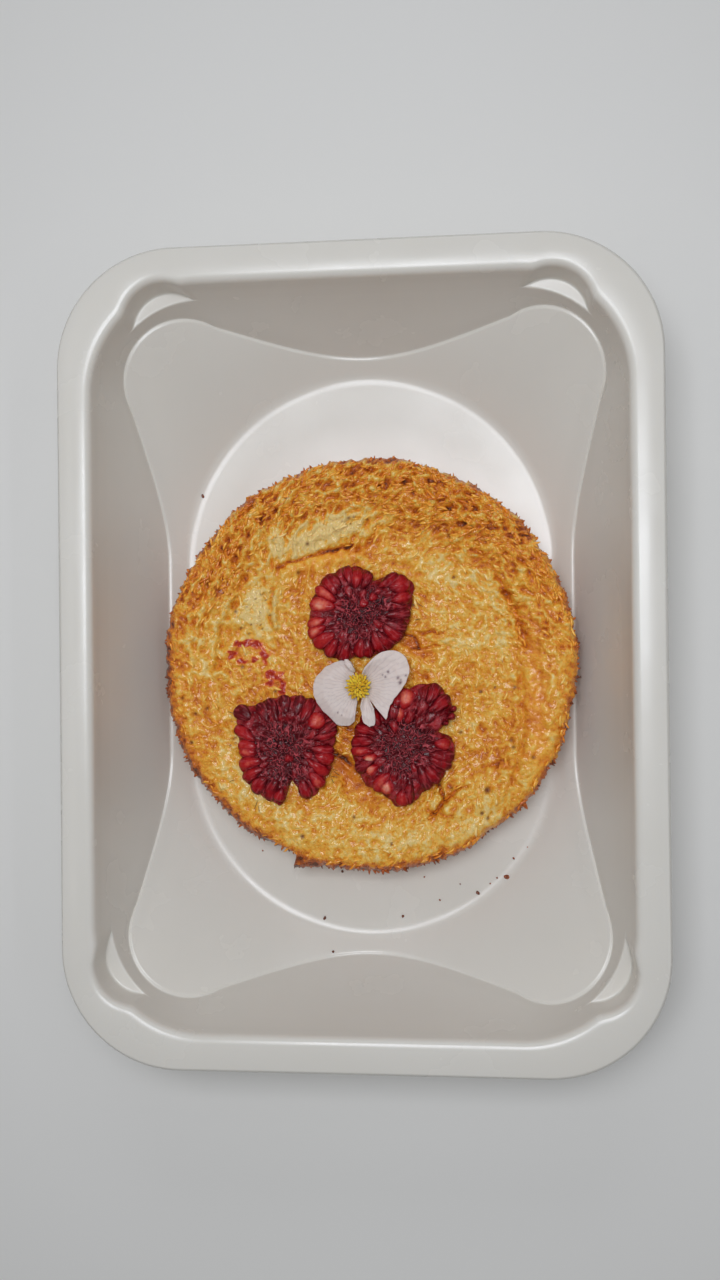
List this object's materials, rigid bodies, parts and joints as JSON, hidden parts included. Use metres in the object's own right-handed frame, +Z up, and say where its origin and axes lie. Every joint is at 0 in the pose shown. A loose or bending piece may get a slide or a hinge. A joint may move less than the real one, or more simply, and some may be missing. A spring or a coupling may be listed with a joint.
{
  "type": "souffle in a tray",
  "caption": "Round baked souffle with a raised browned rim, topped with opened raspberries and a white flower, in a white rectangular plastic meal tray.",
  "frame": {"origin": "centre of the underside of the tray's foot, where it rests on the table", "axes": "+X along the tray's short side, +Y along its long side, +Z up"},
  "size_m": [0.137, 0.187, 0.036],
  "materials": {
    "tray": "satin",
    "souffle": "moist baked crust",
    "raspberry": "wet flesh",
    "tepals": "satin petal",
    "stamens": "matt pollen"
  },
  "bodies": {
    "root": {"tray": "tray", "souffle": "souffle", "raspberry_back": "raspberry", "raspberry_left": "raspberry", "raspberry_right": "raspberry", "flower_tepal_left": "tepals", "flower_tepal_right": "tepals", "flower_tepal_upper": "tepals", "flower_tepal_lower": "tepals", "flower_stamens": "stamens"}
  },
  "joints": []
}
